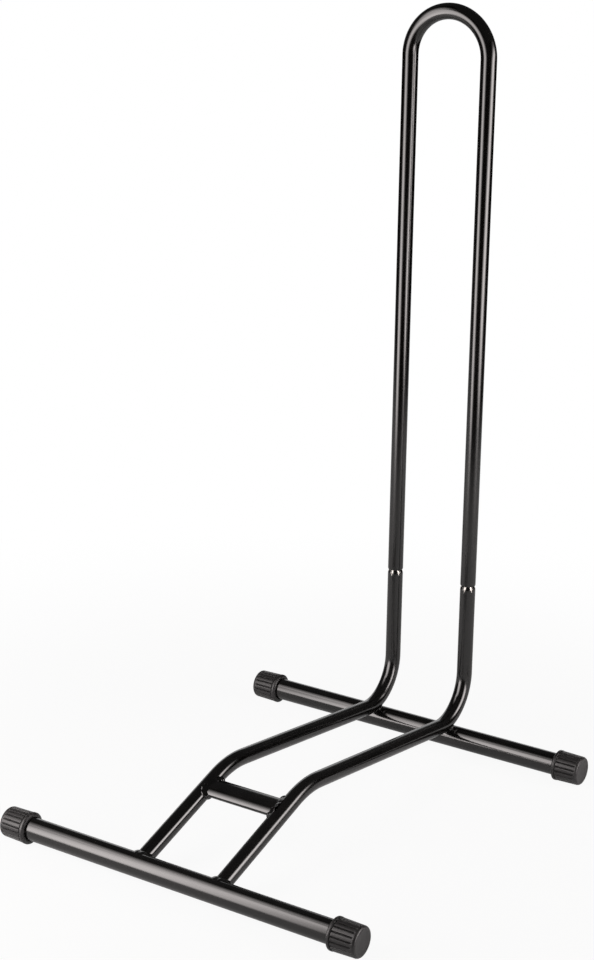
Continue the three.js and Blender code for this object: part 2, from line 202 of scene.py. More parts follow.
ELBOW_CORNER = np.array([RISER_Y, CREST[1] + (RISER_Y - CREST[0]) * tan(slope_angle())])
RAMP = unit(CREST - FRONT_AXIS)
RAMP_3D = np.array([0.0, RAMP[0], RAMP[1]])
RAMP_UP = np.cross(X_AXIS, RAMP_3D)
RUNG_CENTRE = np.array([0.0, *(FRONT_AXIS + RAMP * RUNG_DISTANCE)])
RUNG_WIDE = np.array([0.0, cos(RUNG_DIP), sin(RUNG_DIP)])
RUNG_UP = np.array([0.0, -sin(RUNG_DIP), cos(RUNG_DIP)])

# ---------------------------------------------------------------- paths and surfaces


def turned(vector, angles):
    """A plane vector turned anticlockwise: (a cos t - b sin t, a sin t + b cos t) for each t."""
    a, b = vector
    cosines = np.cos(angles)
    sines = np.sin(angles)
    return np.stack([a * cosines - b * sines, a * sines + b * cosines], 1)


def bent_path(corners, radii, step):
    """Places and directions along straight stretches joined by round bends, in one plane.

    A bend starts its radius x tan(half the turn) before its corner. Its centre lies one radius to
    the side the path turns to, and its places are the start turned about that centre.
    """
    places = [corners[0]]
    directions = [unit(corners[1] - corners[0])]
    for before, corner, after, radius in zip(corners, corners[1:], corners[2:], radii):
        incoming = unit(corner - before)
        outgoing = unit(after - corner)
        crossed = incoming[0] * outgoing[1] - incoming[1] * outgoing[0]
        turn = atan2(crossed, incoming @ outgoing)
        start = corner - incoming * radius * tan(abs(turn) / 2)
        centre = start + copysign(radius, turn) * np.array([-incoming[1], incoming[0]])
        angles = np.linspace(0, turn, ceil(abs(turn) / step) + 1)
        places.extend(centre + turned(start - centre, angles))
        directions.extend(turned(incoming, angles))
    places.append(corners[-1])
    directions.append(unit(corners[-1] - corners[-2]))
    places = np.array(places)
    moved = np.linalg.norm(np.diff(places, axis=0), axis=1) > SAME_PLACE
    kept = np.concatenate([[True], moved])
    return places[kept], np.array(directions)[kept]


def in_space(pairs, first, second, origin=(0.0, 0.0, 0.0)):
    """Plane pairs as points in space: origin + a x first + b x second."""
    return np.asarray(origin) + pairs[:, :1] * first + pairs[:, 1:] * second


def round_angles(count):
    """Angles of a full turn, without its closing repeat."""
    return np.arange(count) * 2 * pi / count


def rings(places, directions, radii, across):
    """Rings carried along a path: place + radius x (cos t x across + sin t x inward).

    Across is the normal of the path's plane, and inward is the cross product of across and
    direction. The result is a grid of rows along the path and columns round it.
    """
    angles = round_angles(radii.shape[1])
    inward = np.cross(across, directions)
    spokes = np.cos(angles)[:, None] * across + np.sin(angles)[:, None] * inward[:, None, :]
    return places[:, None, :] + radii[:, :, None] * spokes


def same_radius(rows, radius, sides):
    """Grid of one radius."""
    return np.full((rows, sides), radius)


def row_values(values, sides):
    """Grid that holds one value along each row."""
    return np.repeat(np.asarray(values, float)[:, None], sides, 1)


def smooth_step(value, start, end):
    """3 t^2 - 2 t^3 of the share t of the way from start to end, held between 0 and 1."""
    t = np.clip((value - start) / (end - start), 0, 1)
    return t * t * (3 - 2 * t)


def loop_faces(rows, columns):
    """Quads of a grid that closes on itself both ways."""
    i = np.arange(rows)[:, None]
    j = np.arange(columns)[None, :]
    here = i * columns
    ahead = (i + 1) % rows * columns
    next_j = (j + 1) % columns
    corners = [here + j, ahead + j, ahead + next_j, here + next_j]
    return np.stack(np.broadcast_arrays(*corners), -1).reshape(-1, 4).tolist()


def poled_faces(rows, columns):
    """Quads between neighbouring rows, and a fan of triangles to the pole at either end.

    The poles are the two points after the grid's own: first the one before row 0, then the other.
    """
    quads = loop_faces(rows, columns)[: (rows - 1) * columns]
    j = np.arange(columns)
    next_j = (j + 1) % columns
    first_pole = np.full(columns, rows * columns)
    last_row = (rows - 1) * columns
    start = np.stack([first_pole, j, next_j], -1).tolist()
    end = np.stack([last_row + j, first_pole + 1, last_row + next_j], -1).tolist()
    return quads + start + end


def add_piece(name, points, faces, material, edge=None, bare_metal_and_painted_shade=None):
    """Makes a smooth mesh object at the origin. Its points carry two shares from 0 to 1.

    Edge is how exposed a point is to rubbing, and on a cap's corner also a painted highlight. The
    other share is painted shade in the hollows of rubber, and bare metal on a tube.
    """
    points = points.reshape(-1, 3)
    mesh = bpy.data.meshes.new(name)
    mesh.from_pydata(points.tolist(), [], faces)
    mesh.shade_smooth()
    mesh.set_sharp_from_angle(angle=SHARP_EDGE)
    for attribute, value in (("edge", edge), ("bare_metal_and_painted_shade", bare_metal_and_painted_shade)):
        share = np.zeros(len(points)) if value is None else np.asarray(value, float).ravel()
        mesh.attributes.new(attribute, "FLOAT", "POINT").data.foreach_set("value", share)
    mesh.materials.append(material)
    mesh.update()
    piece = bpy.data.objects.new(name, mesh)
    bpy.context.scene.collection.objects.link(piece)
    return piece


def fit_piece(piece, body, node):
    """Lets a piece ride on its body in place of the CAD node."""
    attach(piece, body)
    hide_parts(node)


# ---------------------------------------------------------------- shader building blocks


def add_node(tree, kind, inputs=None, **settings):
    """Adds a node, sets its options, and links or sets its inputs by name or number."""
    node = tree.nodes.new(kind)
    for option, value in settings.items():
        setattr(node, option, value)
    for socket, value in (inputs or {}).items():
        if isinstance(value, bpy.types.NodeSocket):
            tree.links.new(value, node.inputs[socket])
        else:
            node.inputs[socket].default_value = value
    return node


def maths(tree, operation, *values):
    """Output of a Math node on the values."""
    return add_node(tree, "ShaderNodeMath", dict(enumerate(values)), operation=operation).outputs[0]


def product(tree, first, *others):
    """Output of values multiplied together."""
    for other in others:
        first = maths(tree, "MULTIPLY", first, other)
    return first


def eased(tree, value, start, end, low=0.0, high=1.0):
    """Output that runs smoothly from low to high as the value goes from start to end."""
    limits = {"Value": value, "From Min": start, "From Max": end, "To Min": low, "To Max": high}
    node = add_node(tree, "ShaderNodeMapRange", limits, interpolation_type="SMOOTHSTEP")
    return node.outputs["Result"]


def mixed(tree, share, first, second):
    """Colour between two colours. The Mix node's colour sockets are its inputs 6 and 7."""
    inputs = {0: share, 6: first, 7: second}
    return add_node(tree, "ShaderNodeMix", inputs, data_type="RGBA").outputs[2]


def noise(tree, place, scale, detail, roughness):
    """Share from 0 to 1 of a noise pattern at a place."""
    inputs = {"Vector": place, "Scale": scale, "Detail": detail, "Roughness": roughness}
    return add_node(tree, "ShaderNodeTexNoise", inputs).outputs["Fac"]


def height_part(tree, vector):
    """Z of a vector."""
    return add_node(tree, "ShaderNodeSeparateXYZ", {0: vector}).outputs["Z"]


def new_group(name, inputs, outputs):
    """Shader node group with named inputs (socket kind and value) and outputs (socket kind)."""
    tree = bpy.data.node_groups.new(name, "ShaderNodeTree")
    for socket, (kind, value) in inputs.items():
        made = tree.interface.new_socket(name=socket, in_out="INPUT", socket_type=kind)
        if value is not None:
            made.default_value = value
    for socket, kind in outputs.items():
        tree.interface.new_socket(name=socket, in_out="OUTPUT", socket_type=kind)
    given = tree.nodes.new("NodeGroupInput").outputs
    made = tree.nodes.new("NodeGroupOutput").inputs
    return tree, given, made


def group_outputs(tree, group, inputs):
    """Adds a node group to a material, with its own values, and returns its outputs."""
    return add_node(tree, "ShaderNodeGroup", inputs, node_tree=group).outputs


FLOAT = "NodeSocketFloat"
VECTOR = "NodeSocketVector"
DRIFT_SCALE = 9.0
DRIFT_RANGE = (0.35, 0.65)
WEAR_RANGE = (0.3, 0.6)
DUST_SLOPES = (0.2, 1.0)
DUST_PATCHES = (0.4, 0.75)


def coat_grain_group():
    """Grain of a sprayed or moulded skin: fine peel on slow waves, and a slow drift of the tone."""
    sizes = {
        "Place": (VECTOR, None),
        "Peel Scale": (FLOAT, 600.0),
        "Wave Scale": (FLOAT, 90.0),
        "Wave Share": (FLOAT, 0.5),
    }
    tree, given, made = new_group("coat_grain", sizes, {"Height": FLOAT, "Drift": FLOAT})
    peel = noise(tree, given["Place"], given["Peel Scale"], detail=2.0, roughness=0.45)
    wave = noise(tree, given["Place"], given["Wave Scale"], detail=1.0, roughness=0.4)
    share = maths(tree, "MULTIPLY", wave, given["Wave Share"])
    tree.links.new(maths(tree, "ADD", peel, share), made["Height"])
    drift = noise(tree, given["Place"], DRIFT_SCALE, detail=3.0, roughness=0.55)
    tree.links.new(eased(tree, drift, *DRIFT_RANGE), made["Drift"])
    return tree


def edge_wear_group():
    """Rubbed edges: the share of edge at a point, broken up by noise, gives a mask."""
    sizes = {
        "Place": (VECTOR, None),
        "Edge": (FLOAT, 0.0),
        "Scale": (FLOAT, 400.0),
        "Amount": (FLOAT, 0.5),
    }
    tree, given, made = new_group("edge_wear", sizes, {"Mask": FLOAT})
    broken = noise(tree, given["Place"], given["Scale"], detail=4.0, roughness=0.6)
    raised = maths(tree, "MULTIPLY", given["Edge"], broken)
    mask = product(tree, eased(tree, raised, *WEAR_RANGE), given["Amount"])
    tree.links.new(mask, made["Mask"])
    return tree


def dust_group():
    """Settled dust: on faces that look up, in patches, as a mask."""
    sizes = {"Place": (VECTOR, None), "Scale": (FLOAT, 60.0), "Amount": (FLOAT, 0.05)}
    tree, given, made = new_group("settled_dust", sizes, {"Mask": FLOAT})
    up = height_part(tree, tree.nodes.new("ShaderNodeNewGeometry").outputs["Normal"])
    patches = noise(tree, given["Place"], given["Scale"], detail=5.0, roughness=0.65)
    patches = eased(tree, patches, *DUST_PATCHES)
    mask = product(tree, eased(tree, up, *DUST_SLOPES), patches, given["Amount"])
    tree.links.new(mask, made["Mask"])
    return tree


def new_material(name, ior):
    """Material with a Principled surface; returns it, its tree, its surface and the place."""
    material = bpy.data.materials.new(name)
    material.use_nodes = True
    tree = material.node_tree
    surface = tree.nodes["Principled BSDF"]
    surface.inputs["IOR"].default_value = ior
    place = tree.nodes.new("ShaderNodeTexCoord").outputs["Object"]
    return material, tree, surface, place


def carried(tree, attribute):
    """A share that the points of every piece carry: edge, or bare metal and painted shade."""
    return add_node(tree, "ShaderNodeAttribute", attribute_name=attribute).outputs["Fac"]


def bump(tree, surface, height, depth):
    """Gives the surface a bump of a height field, in metres."""
    node = add_node(tree, "ShaderNodeBump", {"Strength": 1.0, "Distance": depth, "Height": height})
    tree.links.new(node.outputs["Normal"], surface.inputs["Normal"])


# ---------------------------------------------------------------- finishes
# Colours are linear, with their alpha. Roughness pairs are for the smoothest and the dullest drift.

DUST_TONE = (0.16, 0.15, 0.14, 1.0)

COAT_IOR = 1.62
COAT_BLACK = (0.0017, 0.0015, 0.0014, 1.0)
COAT_LIFTED = (0.003, 0.0027, 0.0025, 1.0)
COAT_RUBBED = (0.02, 0.0185, 0.0175, 1.0)
BARE_STEEL = (0.62, 0.6, 0.57, 1.0)
COAT_GRAIN = {"Peel Scale": 650.0, "Wave Scale": 120.0}
COAT_WEAR_SCALE = 900.0
COAT_DUST = {"Scale": 70.0, "Amount": 0.012}
COAT_DULLED = 0.25
COAT_SKIN = {"depth": 0.000007, "roughness": (0.13, 0.17), "wear": 0.5}
WELD_SKIN = {"depth": 0.00012, "roughness": (0.1, 0.16), "wear": 0.3}

RUBBER_IOR = 1.5
RUBBER_BLACK = (0.0135, 0.0128, 0.013, 1.0)
RUBBER_LIFTED = (0.019, 0.018, 0.0185, 1.0)
# Paler tone of rubbed ribs, and on the shoulder's corner also a painted highlight.
RUBBER_RUBBED_AND_HIGHLIGHT = (0.045, 0.043, 0.043, 1.0)
# Painted shade: the darker tone of the channels and the groove.
RUBBER_PAINTED_SHADE = (0.0015, 0.0014, 0.0014, 1.0)
RUBBER_GRAIN = {"Peel Scale": 1500.0, "Wave Scale": 260.0, "Wave Share": 0.8}
RUBBER_WEAR = {"Scale": 1200.0, "Amount": 0.5}
RUBBER_DUST = {"Scale": 160.0, "Amount": 0.03}
RUBBER_ROUGHNESS = (0.38, 0.44)
RUBBER_POLISHED = 0.3
RUBBER_DUSTED = 0.3
RUBBER_UNPOLISHED = 0.4
RUBBER_SKIN_DEPTH = 0.00003


def coat_material(name, groups, depth, roughness, wear):
    """Gloss black powder coat: drifting tone, rubbed edges, a little dust and orange peel.

    Where the mark is set, the coat gives way to bare steel.
    """
    grain, wear_group, dust = groups
    material, tree, surface, place = new_material(name, COAT_IOR)
    skin = group_outputs(tree, grain, {"Place": place, **COAT_GRAIN})
    worn = {"Place": place, "Edge": carried(tree, "edge"), "Scale": COAT_WEAR_SCALE, "Amount": wear}
    rubbed = group_outputs(tree, wear_group, worn)["Mask"]
    dusty = group_outputs(tree, dust, {"Place": place, **COAT_DUST})["Mask"]
    bare = carried(tree, "bare_metal_and_painted_shade")
    tone = mixed(tree, skin["Drift"], COAT_BLACK, COAT_LIFTED)
    tone = mixed(tree, rubbed, tone, COAT_RUBBED)
    tone = mixed(tree, dusty, tone, DUST_TONE)
    tone = mixed(tree, bare, tone, BARE_STEEL)
    tree.links.new(tone, surface.inputs["Base Color"])
    tree.links.new(bare, surface.inputs["Metallic"])
    gloss = eased(tree, skin["Drift"], 0.0, 1.0, *roughness)
    dulled = product(tree, maths(tree, "MAXIMUM", rubbed, bare), COAT_DULLED)
    tree.links.new(maths(tree, "ADD", gloss, dulled), surface.inputs["Roughness"])
    bump(tree, surface, skin["Height"], depth)
    return material


def rubber_material(groups):
    """Satin black moulded rubber: drifting tone, paler rubbed ribs, dust and a fine skin.

    In the channels and the groove the colour is darkened as painted shade, and the rubber is rougher.
    """
    grain, wear_group, dust = groups
    material, tree, surface, place = new_material("black_cap_rubber", RUBBER_IOR)
    skin = group_outputs(tree, grain, {"Place": place, **RUBBER_GRAIN})
    worn = {"Place": place, "Edge": carried(tree, "edge"), **RUBBER_WEAR}
    rubbed = group_outputs(tree, wear_group, worn)["Mask"]
    dusty = group_outputs(tree, dust, {"Place": place, **RUBBER_DUST})["Mask"]
    recess_shade = carried(tree, "bare_metal_and_painted_shade")
    tone = mixed(tree, skin["Drift"], RUBBER_BLACK, RUBBER_LIFTED)
    # The rubbed tone is wear, and on the shoulder's corner also a painted highlight.
    tone = mixed(tree, rubbed, tone, RUBBER_RUBBED_AND_HIGHLIGHT)
    # Painted shade darkens the channels and the groove.
    tone = mixed(tree, recess_shade, tone, RUBBER_PAINTED_SHADE)
    tone = mixed(tree, dusty, tone, DUST_TONE)
    tree.links.new(tone, surface.inputs["Base Color"])
    satin = eased(tree, skin["Drift"], 0.0, 1.0, *RUBBER_ROUGHNESS)
    satin = maths(tree, "SUBTRACT", satin, product(tree, rubbed, RUBBER_POLISHED))
    satin = maths(tree, "ADD", satin, product(tree, dusty, RUBBER_DUSTED))
    satin = maths(tree, "ADD", satin, product(tree, recess_shade, RUBBER_UNPOLISHED))
    tree.links.new(satin, surface.inputs["Roughness"])
    bump(tree, surface, skin["Height"], RUBBER_SKIN_DEPTH)
    return material


def make_finishes():
    """The three finishes of the rack, on shared groups for grain, wear and dust."""
    groups = coat_grain_group(), edge_wear_group(), dust_group()
    return {
        "coat": coat_material("gloss_black_coat", groups, **COAT_SKIN),
        "weld": coat_material("coated_weld", groups, **WELD_SKIN),
        "rubber": rubber_material(groups),
    }


# ---------------------------------------------------------------- cross tubes and caps


def cross_tube(node, finishes):
    """Round tube along X: an outer run, a rounded lip, and the bore back to the start."""
    centre = middle(node) * [0, 1, 1]
    half = reach(node)[0]
    bore = CROSS_TUBE_RADIUS - CROSS_TUBE_WALL
    run = np.array([-half, LIP - half, half - LIP, half, half, -half])
    radii = np.array([-LIP, 0, 0, -LIP, 0, 0]) + np.array([CROSS_TUBE_RADIUS] * 4 + [bore] * 2)
    places = centre + run[:, None] * X_AXIS
    directions = np.repeat(X_AXIS[None], len(run), 0)
    grid = rings(places, directions, row_values(radii, CROSS_TUBE_SIDES), -Y_AXIS)
    edge = row_values([1, 0, 0, 1, 1, 1], CROSS_TUBE_SIDES)
    faces = loop_faces(*grid.shape[:2])
    piece = add_piece(node + "_skin", grid, faces, finishes["coat"], edge)
    fit_piece(piece, "base", node)


def cap_profile(length, radius):
    """Rows of a cap as (distance from the mouth, radius), from the bore's floor round to the end.

    The lip is a cone, the collar a cylinder, the groove half a sine wave, the barrel a slow taper,
    the shoulder a quarter of a full oval and the end a flat disc.
    """
    mouth_radius = CAP_BORE + CAP_LIP_WALL
    barrel = radius - CAP_TAPER
    groove_end = CAP_COLLAR_END + CAP_GROOVE_WIDTH
    shoulder_start = length - CAP_SHOULDER_LENGTH
    inside = [(length - CAP_FLOOR, CAP_BORE), (LIP, CAP_BORE)]
    mouth = [(0, CAP_BORE + LIP), (0, mouth_radius - LIP), (LIP, mouth_radius)]
    collar = [(CAP_LIP_LENGTH - LIP, radius - LIP / 2), (CAP_LIP_LENGTH, radius)]
    collar += [(CAP_COLLAR_END - LIP, radius), (CAP_COLLAR_END, radius - LIP / 3)]
    share = np.linspace(0, 1, GROOVE_ROWS + 2)[1:-1]
    hollow = radius - CAP_GROOVE_DEPTH * np.sin(pi * share)
    groove = np.stack([CAP_COLLAR_END + share * CAP_GROOVE_WIDTH, hollow], 1)
    along = np.linspace(groove_end, shoulder_start, BARREL_ROWS)
    slope = np.interp(along, [groove_end, shoulder_start], [radius - CAP_STEP, barrel])
    turn = np.linspace(0, pi / 2, SHOULDER_ROWS + 1)[1:]
    forward = shoulder_start + CAP_SHOULDER_LENGTH * np.sin(turn) ** CAP_SHOULDER_POWER
    inward = barrel - CAP_SHOULDER_DROP * (1 - np.cos(turn) ** CAP_SHOULDER_POWER)
    flat = barrel - CAP_SHOULDER_DROP
    end = [(length, flat - LIP), (length - CAP_DISH, flat - 3 * LIP)]
    barrel_rows = np.stack([along, slope], 1)
    shoulder = np.stack([forward, inward], 1)
    return np.vstack([inside, mouth, collar, groove, barrel_rows, shoulder, end])


def rib_depths(along, angles, length):
    """How far the surface lies under the cap's outline, for rows along it and angles round it.

    A channel runs between neighbouring ribs: a smooth step of the distance from a rib's crown. A
    rib falls away as the square of that distance, so it is a little lower at its flanks. All of it
    fades out at the groove and before the shoulder. Also returns the channels alone.
    """
    start = CAP_COLLAR_END + CAP_GROOVE_WIDTH / 2
    shoulder_start = length - CAP_SHOULDER_LENGTH
    fade_start = shoulder_start - CAP_RIB_DEPTH
    fade_end = shoulder_start + CAP_RIB_DEPTH / 3
    rise = smooth_step(along, start, start + CAP_RIB_DEPTH)
    window = (rise * (1 - smooth_step(along, fade_start, fade_end)))[:, None]
    off_crown = np.abs((angles * CAP_RIBS / (2 * pi)) % 1 - 0.5)
    channel = smooth_step(off_crown, *CAP_RIB_FLANK)
    crown = (2 * off_crown) ** 2
    return window * (CAP_RIB_DEPTH * channel + CAP_RIB_CROWN * crown), window * channel


def cap_shares(profile, depth, channel, radius, length):
    """Shares of edge and of recess on a cap, with a 0 for each of its two poles.

    Rubbed are the ribs, and the shoulder's corner as exp(-(distance / width)^2), which also paints a
    highlight there. Painted shade darkens the channels and the groove.
    """
    along, height = profile[:, :1], profile[:, 1:]
    outside = np.arange(len(profile))[:, None] >= CAP_INSIDE_ROWS
    rim = radius - CAP_TAPER - CAP_CORNER_SHARE * CAP_SHOULDER_DROP
    # The corner's share lightens the rim as a painted highlight, besides its wear.
    corner = np.exp(-(((height - rim) / CAP_CORNER_WIDTH) ** 2))
    corner = corner * (along > length - CAP_SHOULDER_LENGTH)
    ribs = RIB_EXPOSURE * (1 - channel) * (depth > 0)
    groove = (along > CAP_COLLAR_END) & (along < CAP_COLLAR_END + CAP_GROOVE_WIDTH)
    edge = np.clip(ribs + corner, 0, 1) * outside
    # Painted shade in the channels and the groove.
    recess_shade = np.maximum(channel, GROOVE_SHADE * groove) * outside
    return np.append(edge, [0, 0]), np.append(recess_shade, [0, 0])


def end_cap(node, finishes):
    """Ribbed cup over a tube's end: its profile turned about X, less the depth of the ribs."""
    centre = middle(node)
    side = copysign(1, centre[0])
    length = 2 * reach(node)[0]
    radius = reach(node)[2]
    profile = cap_profile(length, radius)
    angles = round_angles(CAP_RIBS * POINTS_PER_RIB)
    depth, channel = rib_depths(profile[:, 0], angles, length)
    depth[:CAP_INSIDE_ROWS] = 0
    mouth = abs(centre[0]) - length / 2
    runs = np.vstack([profile[:, :1], [[length - CAP_FLOOR], [length - CAP_DISH]]])
    places = centre * [0, 1, 1] + side * (mouth + runs) * X_AXIS
    directions = np.repeat(side * X_AXIS[None], len(profile), 0)
    across = np.cross(side * X_AXIS, Z_AXIS)
    grid = rings(places[:-2], directions, profile[:, 1:] - depth, across)
    points = np.vstack([grid.reshape(-1, 3), places[-2:]])
    # The second share is painted shade in the cap's hollows.
    edge, recess_shade = cap_shares(profile, depth, channel, radius, length)
    faces = poled_faces(*grid.shape[:2])
    piece = add_piece(node + "_rubber", points, faces, finishes["rubber"], edge, recess_shade)
    fit_piece(piece, "base", node)


# ---------------------------------------------------------------- side tubes


def saddle(offsets):
    """How far from the front cross tube's axis its surface lies, at an offset to its side."""
    return np.sqrt((CROSS_TUBE_RADIUS + WELD_GAP / 2) ** 2 - offsets**2)


def side_path(top, step):
    """Path of a side tube from the front cross tube's axis to a height on the riser."""
    corners = [FRONT_AXIS, CREST, ELBOW_CORNER, np.array([RISER_Y, top])]
    places, directions = bent_path(corners, [CREST_BEND_RADIUS, ELBOW_RADIUS], step)
    return in_space(places, Y_AXIS, Z_AXIS), in_space(directions, Y_AXIS, Z_AXIS)


def bent_run(top, step, radius):
    """Rings along a side tube's path, the first pushed on to the saddle of the front cross tube."""
    places, directions = side_path(top, step)
    grid = rings(places, directions, same_radius(len(places), radius, PLUG_SIDES), X_AXIS)
    grid[0] += saddle(radius * np.sin(round_angles(PLUG_SIDES)))[:, None] * RAMP_3D
    return grid


def riser_rings(heights, radii):
    """Rings round a riser's axis at the heights."""
    pairs = np.stack([np.full(len(heights), RISER_Y), heights], 1)
    upward = np.repeat(Z_AXIS[None], len(heights), 0)
    return rings(in_space(pairs, Y_AXIS, Z_AXIS), upward, radii, X_AXIS)


def plug_heights():
    """Heights of the rows up the neck, the spigot and its rounded tip."""
    neck = np.linspace(NECK_BASE, NECK_TOP, NECK_ROWS + 1)[1:]
    spigot = np.linspace(NECK_TOP, SPIGOT_TOP - SPIGOT_TIP, SPIGOT_ROWS + 1)[1:]
    turn = np.linspace(0, pi / 2, TIP_ROWS + 1)[1:]
    return np.concatenate([neck, spigot, SPIGOT_TOP - SPIGOT_TIP * (1 - np.sin(turn))])


def plug_radii(heights, angles):
    """Radius of a riser's top at each height and angle, and where its flutes are.

    The radius is the least of its outline and its flutes. The outline drops from the tube to the
    spigot as 1 - t^4 down the neck, and rounds off at the tip as a quarter circle. A flute is a
    round rod beside the axis, which thins out to a point below the joint: along a spoke its near
    side is d cos a - sqrt(r^2 - d^2 sin^2 a).
    """
    t = np.clip((heights - NECK_BASE) / NECK_LENGTH, 0, 1)
    outline = SPIGOT_RADIUS + (SIDE_TUBE_RADIUS - SPIGOT_RADIUS) * (1 - t**4)
    tip = np.clip((heights - SPIGOT_TOP + SPIGOT_TIP) / SPIGOT_TIP, 0, 1)
    outline = outline - SPIGOT_TIP * (1 - np.sqrt(1 - tip**2))
    distance = SPIGOT_RADIUS - FLUTE_DEPTH + FLUTE_RADIUS
    pitch = 2 * pi / FLUTE_COUNT
    off = angles % pitch - pitch / 2
    below = np.clip((NECK_TOP - heights) / FLUTE_RUNOUT, 0, 1)
    rod = FLUTE_RADIUS * (1 - below)
    room = rod[:, None] ** 2 - (distance * np.sin(off)) ** 2
    near = distance * np.cos(off) - np.sqrt(np.maximum(room, 0))
    fluted = (room > 0) & (near < outline[:, None])
    return np.where(fluted, near, outline[:, None]), fluted


def side_tube(node, finishes):
    """Bent tube from its saddle on the front cross tube up to the fluted spigot, and its bore."""
    outer = bent_run(NECK_BASE, BEND_STEP, SIDE_TUBE_RADIUS)
    heights = plug_heights()
    radii, fluted = plug_radii(heights, round_angles(PLUG_SIDES))
    plug = riser_rings(heights, radii)
    throat_heights = np.array([NECK_TOP - SIDE_TUBE_WALL, SPIGOT_TOP])
    throat = riser_rings(throat_heights, same_radius(2, SPIGOT_BORE, PLUG_SIDES))
    bore_top = NECK_BASE - SIDE_TUBE_WALL
    bore = bent_run(bore_top, BORE_BEND_STEP, SIDE_TUBE_RADIUS - SIDE_TUBE_WALL)
    x = middle(node)[0]
    grid = np.vstack([outer, plug, throat[::-1], bore[::-1]]) + x * X_AXIS
    neck_end = len(outer) + NECK_ROWS
    edge = np.zeros(grid.shape[:2])
    edge[neck_end - WORN_NECK_ROWS : len(outer) + len(plug)] = PLUG_EXPOSURE
    bare = np.zeros(grid.shape[:2])
    bare[len(outer) : neck_end] = fluted[:NECK_ROWS]
    faces = loop_faces(*grid.shape[:2])
    piece = add_piece(node + "_skin", grid, faces, finishes["coat"], edge, bare)
    fit_piece(piece, "base", node)


# ---------------------------------------------------------------- rung


def oval(angles, inset):
    """Points of the rung's section: the ellipse cos t x half width, sin t x half thickness."""
    wide = (RUNG_HALF_WIDTH - inset) * np.cos(angles)
    thick = (RUNG_HALF_THICKNESS - inset) * np.sin(angles)
    return -wide[:, None] * RUNG_WIDE + thick[:, None] * RUNG_UP


def flank(heights, gap):
    """Distance from the middle plane to the inner flank of a side tube, at heights above its axis."""
    radius = SIDE_TUBE_RADIUS + gap
    held = np.clip(heights, -WITHIN_TUBE * radius, WITHIN_TUBE * radius)
    return HALF_SPACING - np.sqrt(radius**2 - held**2)


def rung(node, finishes):
    """Tube pressed to an oval: its section between the flanks of both side tubes, and its bore."""
    angles = round_angles(CROSS_TUBE_SIDES)
    shares = np.linspace(-1, 1, RUNG_ROWS)[:, None, None]
    walls = []
    for inset in (0, RUNG_WALL):
        section = oval(angles, inset)
        ends = flank(section @ RAMP_UP, WELD_GAP / 3)[:, None]
        walls.append(RUNG_CENTRE + section + shares * ends * X_AXIS)
    grid = np.vstack([walls[0], walls[1][::-1]])
    piece = add_piece(node + "_skin", grid, loop_faces(*grid.shape[:2]), finishes["coat"])
    fit_piece(piece, "base", node)


# ---------------------------------------------------------------- welds


def lumps(angles, strength):
    """Uneven laying of a bead: 1 + strength x a sum of waves of 3 to 17 turns with drawn phases."""
    phases = RANDOM.uniform(0, 2 * pi, len(LUMP_TURNS))
    waves = np.sin(angles[:, None] * LUMP_TURNS + phases)
    return 1 + strength * (waves @ LUMP_WEIGHTS)


def bead_section(fullness):
    """Section of a bead between its feet, as shares of its two legs.

    The shares are cos t and sin t to the power 2 / p, where p is the fullness.
    """
    t = np.linspace(0, pi / 2, BEAD_STEPS)
    return np.cos(t) ** (2 / fullness), np.sin(t) ** (2 / fullness)


def leg_rows(shares, leg):
    """Distances along a bead's leg: one row sunk below both legs, and then its shares of the leg."""
    return np.vstack([np.full(BEAD_SIDES, -BEAD_SINK), shares[:, None] * leg])


def front_weld(node, finishes):
    """Fillet round the foot of a side tube.

    Its first leg lies on the cross tube's saddle and its second runs up the side tube.
    """
    angles = round_angles(BEAD_SIDES)
    out, up = bead_section(FRONT_BEAD_FULLNESS)
    leg = FRONT_BEAD_LEG * lumps(angles, FRONT_BEAD_LUMP)
    out_leg = np.minimum(leg, CROSS_TUBE_RADIUS - SIDE_TUBE_RADIUS - WELD_GAP)
    radii = SIDE_TUBE_RADIUS + leg_rows(out, out_leg)
    stations = saddle(radii * np.sin(angles)) + leg_rows(up, leg) - WELD_GAP / 2
    spokes = np.cos(angles)[:, None] * X_AXIS + np.sin(angles)[:, None] * RAMP_UP
    origin = np.array([middle(node)[0], *FRONT_AXIS])
    grid = origin + radii[:, :, None] * spokes + stations[:, :, None] * RAMP_3D
    piece = add_piece(node + "_bead", grid, loop_faces(*grid.shape[:2]), finishes["weld"])
    fit_piece(piece, "base", node)


def rung_weld(node, finishes):
    """Fillet round an end of the rung.

    Its first leg lies on the flank of the side tube, its second runs in along the rung's oval, and
    each is laid off along the oval's normal, (cos t / half width, sin t / half thickness).
    """
    side = copysign(1, middle(node)[0])
    angles = round_angles(BEAD_SIDES)
    wide = -np.cos(angles)[:, None] / RUNG_HALF_WIDTH * RUNG_WIDE
    thick = np.sin(angles)[:, None] / RUNG_HALF_THICKNESS * RUNG_UP
    normals = wide + thick
    normals /= np.linalg.norm(normals, axis=1)[:, None]
    out, back = bead_section(RUNG_BEAD_FULLNESS)
    leg = RUNG_BEAD_LEG * lumps(angles, RUNG_BEAD_LUMP)
    spots = oval(angles, 0) + leg_rows(out, leg)[:, :, None] * normals
    reaches = flank(spots @ RAMP_UP, 0) - leg_rows(back, leg)
    grid = RUNG_CENTRE + spots + side * reaches[:, :, None] * X_AXIS
    if side > 0:
        grid = grid[::-1]
    piece = add_piece(node + "_bead", grid, loop_faces(*grid.shape[:2]), finishes["weld"])
    fit_piece(piece, "base", node)


